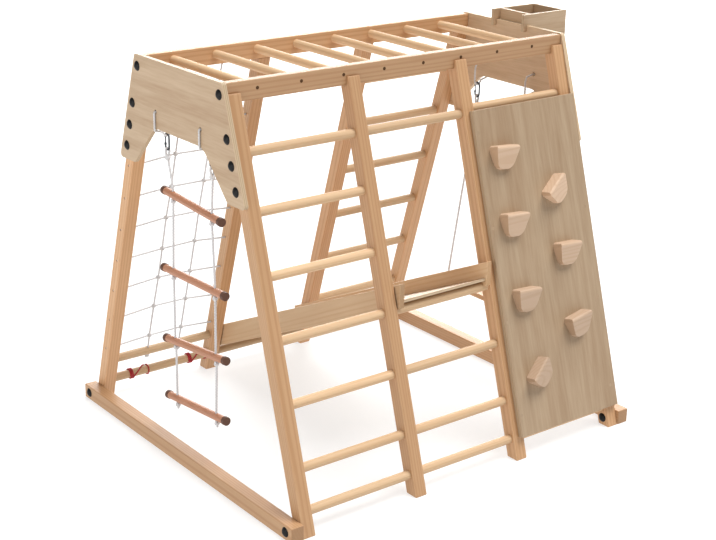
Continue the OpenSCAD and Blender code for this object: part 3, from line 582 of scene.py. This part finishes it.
# an outline of a given number of sides, whose strands bulge out and dip between them
def ringOutline(diameter, sides, strands=0, dip=0.0):
    outs = [(diameter / 2 * (1 - dip + dip * math.cos(strands * t)), t) for t in fullTurn(sides)]
    return [(out * math.cos(t), out * math.sin(t)) for out, t in outs]


# three-strand laid rope, which turns once in 3.4 times its thickness
def laidRope(name, node, lines, diameter):
    form = bmesh.new()
    sweepInto(form, lines, ringOutline(diameter, sides=15, strands=3, dip=0.12), lay=diameter * 3.4)
    finishPiece(form, name, node, soft=60)


def wireInto(form, points, diameter):
    sweepInto(form, [points], ringOutline(diameter, sides=14))


# a point of the net's plane, by its x, its way up the legs and its way out of the plane
def inNet(x, rise, off=0):
    y = timber["footY"] - rise * math.sin(lean) + off * math.cos(lean)
    return place(x, y, rise * math.cos(lean) + off * math.sin(lean))


# rows laced through the legs, columns from under the net bar up into the rail, and a knot where they cross
def buildNet():
    draw = random.Random("net")
    legs, half = timber["legX"], timber["legSide"] / 2
    left, right = legs[0] + half, legs[1] - half
    columns = [(legs[0] + legs[1]) / 2 + k * (right - left) / 6 for k in (-1, 1)]
    rows = [(net["lowRowZ"] + k * net["rowStep"]) / math.cos(lean) for k in range(net["rows"])]
    bottom = timber["netBarZ"] / math.cos(lean) - timber["rungD"] / 2
    top = (timber["railLow"] + timber["socket"]) / math.cos(lean)
    reach = timber["legSide"] - net["wall"]
    flat = (inNet(0, 0, 1) - inNet(0, 0)).normalized()
    aside, up = net["wander"]
    knotsAt = {(x, z): (x + draw.uniform(-aside, aside), z + draw.uniform(-up, up))
               for x in columns for z in rows}
    lines = []
    for z in rows:
        low = z - net["sag"]
        spots = [(left - reach, low), (left, low), *[knotsAt[x, z] for x in columns], (right, low),
                 (right + reach, low)]
        lines.append(eased(spaced([inNet(*spot) for spot in spots], net["step"]), net["easing"]))
    for x in columns:
        spots = [(x, bottom - net["tail"]), (x, bottom + net["leadLow"]), *[knotsAt[x, z] for z in rows],
                 (x, top - net["leadTop"]), (x, top)]
        lines.append(eased(spaced([inNet(*spot) for spot in spots], net["step"]), net["easing"]))
        lines.append(knotLoop(inNet(x, bottom - net["endKnotDrop"]), upBack, flat, net["endKnot"]))
        for z in rows:
            lines.append(knotLoop(inNet(*knotsAt[x, z]), upBack, flat, net["knot"]))
    laidRope("climbingNet", "climbing_net", lines, net["drawn"])


# the knotted eye of a hanging rope over its hook, and the rope below it through the given points
def ropeWithEye(x, y, below):
    r = (rope["thick"] + hook["wire"]) / 2 + play
    arch = [place(x - r * math.cos(a), y, hookLow + r * math.sin(a)) for a in halfTurn(8)]
    (throatX, throatZ), (shoulderX, shoulderZ) = rope["throat"], rope["shoulder"]
    loop = [place(x - throatX, y, eyeZ + throatZ), place(x - shoulderX, y, eyeZ + shoulderZ), *arch,
            place(x + shoulderX, y, eyeZ + shoulderZ), place(x + throatX, y, eyeZ + throatZ)]
    return [eased(spaced([*loop, *below], rope["step"]), rope["easing"]),
            knotLoop(place(x, y, eyeZ), zAxis, xAxis, rope["eyeKnot"])]


# point on the axis of a ladder rung's rope hole, by its height over the rung's axis
def ladderPoint(k, side, rise):
    tilt, twist = math.radians(ladder["tilt"][k]), math.radians(ladder["twist"][k])
    out = side * ladder["ropeY"]
    along = out * math.cos(tilt) - rise * math.sin(tilt)
    z = bendZ - ladder["drop"] - k * ladder["step"] + ladder["slack"][k]
    return place(-hangX - along * math.sin(twist), ladder["shift"] + along * math.cos(twist),
                 z + out * math.sin(tilt) + rise * math.cos(tilt))


def buildLadderRopes():
    lines, half = [], ladder["rungD"] / 2
    for side in (-1, 1):
        below = []
        for k in range(len(ladder["twist"])):
            below += [ladderPoint(k, side, half + ladder["lead"]),
                      ladderPoint(k, side, -half - rope["knotDrop"])]
            lines.append(knotLoop(below[-1], zAxis, xAxis, rope["knot"]))
        below.append(below[-1] - zAxis * rope["tail"] * mm)
        lines += ropeWithEye(-hangX, side * sling["y"], below)
    laidRope("ladderRopes", "ladder_ropes", lines, rope["drawn"])


def buildSwingRopes():
    lines = []
    for side in (-1, 1):
        y, low = side * seat["ropeY"], seat["topZ"] - seat["thick"] - rope["knotDrop"]
        below = [place(hangX, y, z) for z in (seat["topZ"] + seat["lead"], low, low - rope["tail"])]
        lines += ropeWithEye(hangX, side * sling["y"], below)
        lines.append(knotLoop(below[1], zAxis, xAxis, rope["knot"]))
    laidRope("swingRopes", "swing_ropes", lines, rope["drawn"])


# closed loops out through the panel's hole, down its face, in under its arch and round the hook
def buildSlings():
    out = panelX + sling["thick"] / 2 + play
    past = sling["y"] + sling["thick"] / 2 - panel["archFlat"]
    edgeZ = (panel["archTop"] - panel["archR"] + math.sqrt(panel["archR"] ** 2 - past ** 2)
             - sling["thick"] / 2)
    inner = frameX - sling["thick"] / 2 - sling["inset"]
    bend = [(hangX - sling["bendR"] * math.cos(a), bendZ - sling["bendR"] * math.sin(a))
            for a in halfTurn(8)]
    shoulderX, shoulderZ = sling["shoulder"]
    line = [*bend, (out, edgeZ), (out, sling["holeZ"]), (inner, sling["holeZ"]),
            (hangX - shoulderX, sling["holeZ"] - shoulderZ),
            (hangX - sling["bendR"], sling["holeZ"] - sling["fall"])]
    lines = []
    for end in (-1, 1):
        for side in (-1, 1):
            points = [place(end * x, side * sling["y"], z) for x, z in line]
            lines.append((eased(spaced(points, sling["step"], True), sling["easing"], True), True))
    laidRope("panelSlings", "panel_slings", lines, sling["drawn"])


# lashings round the low bar: close turns, the strand that crosses over, and a little over one last turn
def buildTies():
    around = timber["rungD"] / 2 + tie["thick"] / 2 + tie["lift"]
    y, z = legY(timber["lowRungZ"]), timber["lowRungZ"]
    start, crossed, last = tie["start"] / 360 * tie["turnSteps"], tie["crossSteps"], tie["lastSteps"]
    lines = []
    for x in tie["x"]:
        # places along the bar, each with the steps that the cord has turned by there
        path = [(x + tie["pitch"] * (start + k) / tie["turnSteps"], k)
                for k in range(-tie["closeTurns"] * tie["turnSteps"], 1)]
        path += [(x + tie["cross"] * k / crossed, k) for k in range(1, crossed)]
        path += [(x + tie["cross"] + tie["pitch"] * k / tie["turnSteps"], crossed + k)
                 for k in range(last)]
        turned = [(at, 2 * math.pi * (start + k) / tie["turnSteps"]) for at, k in path]
        points = [place(at, y - around * math.cos(a), z + around * math.sin(a)) for at, a in turned]
        lines.append(eased(spaced(points, tie["step"]), tie["easing"]))
        lines.append(knotLoop(points[-1] - yAxis * tie["knotBack"] * mm, xAxis, zAxis, tie["knot"]))
    laidRope("netTies", "net_ties", lines, tie["thick"])


# snap hooks: a bent wire body, a slimmer spring gate, its hinge sleeve and pin
def buildHooks(name, node, x):
    arc = hook["arc"]
    upper, lower = hookTop - arc, hookLow + arc
    body = [(arc, lower + hook["bodyEnds"][0]),
            *[(arc * math.cos(a), lower - arc * math.sin(a)) for a in halfTurn(14)],
            *[(-arc * math.cos(a), upper + arc * math.sin(a)) for a in halfTurn(14)],
            (arc, upper + hook["bodyEnds"][1])]
    gate = [(arc, lower + hook["gateEnds"][0]), (arc, upper + hook["gateEnds"][1])]
    pinZ = lower + hook["pinZ"]

    def at(side, out, z, off=0.0):
        return place(x + off, side * (sling["y"] + out), z)

    form = bmesh.new()
    for side in (-1, 1):
        wireInto(form, spaced([at(side, *spot) for spot in body], hook["step"]), hook["wire"])
        wireInto(form, [at(side, *spot) for spot in gate], hook["gate"])
        wireInto(form, [at(side, arc, lower + z) for z in hook["sleeveEnds"]], hook["sleeve"])
        wireInto(form, [at(side, arc, pinZ, end * hook["pinHalf"]) for end in (-1, 1)], hook["pin"])
    finishPiece(form, name, node)


buildNet()
buildLadderRopes()
buildSwingRopes()
buildSlings()
buildTies()
buildHooks("ladderHooks", "ladder_hooks", -hangX)
buildHooks("swingHooks", "swing_hooks", hangX)
print("ropes, net, slings and ties made")

# the floor is pale and lit from below too, so that shadows stay faint; it lies just under the feet
backdrop = {"halfSide": 40, "under": 0.3 * mm, "colour": "#a6a6a5", "glow": 0.66, "sky": 0.25}

# soft studio light, in metres: from above, over the backdrop, and a little from the left
lamps = {
    "ceilingLight": {
        "kind": "SUN", "spot": (1.2, -0.9, 4.0), "aim": (0, 0, 0),
        "settings": {"energy": 3.5, "angle": math.radians(40)}},
    "backdropLight": {
        "kind": "AREA", "spot": (5.6, 7.2, 3.0), "aim": (0, 0, 0.8),
        "settings": {"energy": 900, "size": 6.0}},
    "leftLight": {
        "kind": "AREA", "spot": (-6.0, -0.8, 2.0), "aim": (0, 0, 0.7),
        "settings": {"energy": 120, "size": 3.0}},
}


def buildFloor():
    material = startMaterial(
        "paleFloor", Roughness=0.9, Base_Color=hexColour(backdrop["colour"]),
        Emission_Color=(1, 1, 1, 1), Emission_Strength=backdrop["glow"])[0]
    form = bmesh.new()
    bmesh.ops.create_grid(form, x_segments=1, y_segments=1, size=backdrop["halfSide"],
                          matrix=Matrix.Translation((0, 0, -backdrop["under"])))
    mesh = bpy.data.meshes.new("floor")
    form.to_mesh(mesh)
    form.free()
    floor = bpy.data.objects.new("floor", mesh)
    mesh.materials.append(material)
    scene.collection.objects.link(floor)


def buildLight():
    world = bpy.data.worlds.new("softRoom")
    world.use_nodes = True
    sky = world.node_tree.nodes["Background"].inputs
    sky["Color"].default_value, sky["Strength"].default_value = (1, 1, 1, 1), backdrop["sky"]
    scene.world = world
    for name, spec in lamps.items():
        lamp = bpy.data.lights.new(name, spec["kind"])
        for setting, value in spec["settings"].items():
            setattr(lamp, setting, value)
        light = bpy.data.objects.new(name, lamp)
        look = Vector(spec["aim"]) - Vector(spec["spot"])
        light.matrix_world = (Matrix.Translation(spec["spot"])
                              @ look.to_track_quat("-Z", "Y").to_matrix().to_4x4())
        scene.collection.objects.link(light)


buildFloor()
buildLight()
print("stage set")
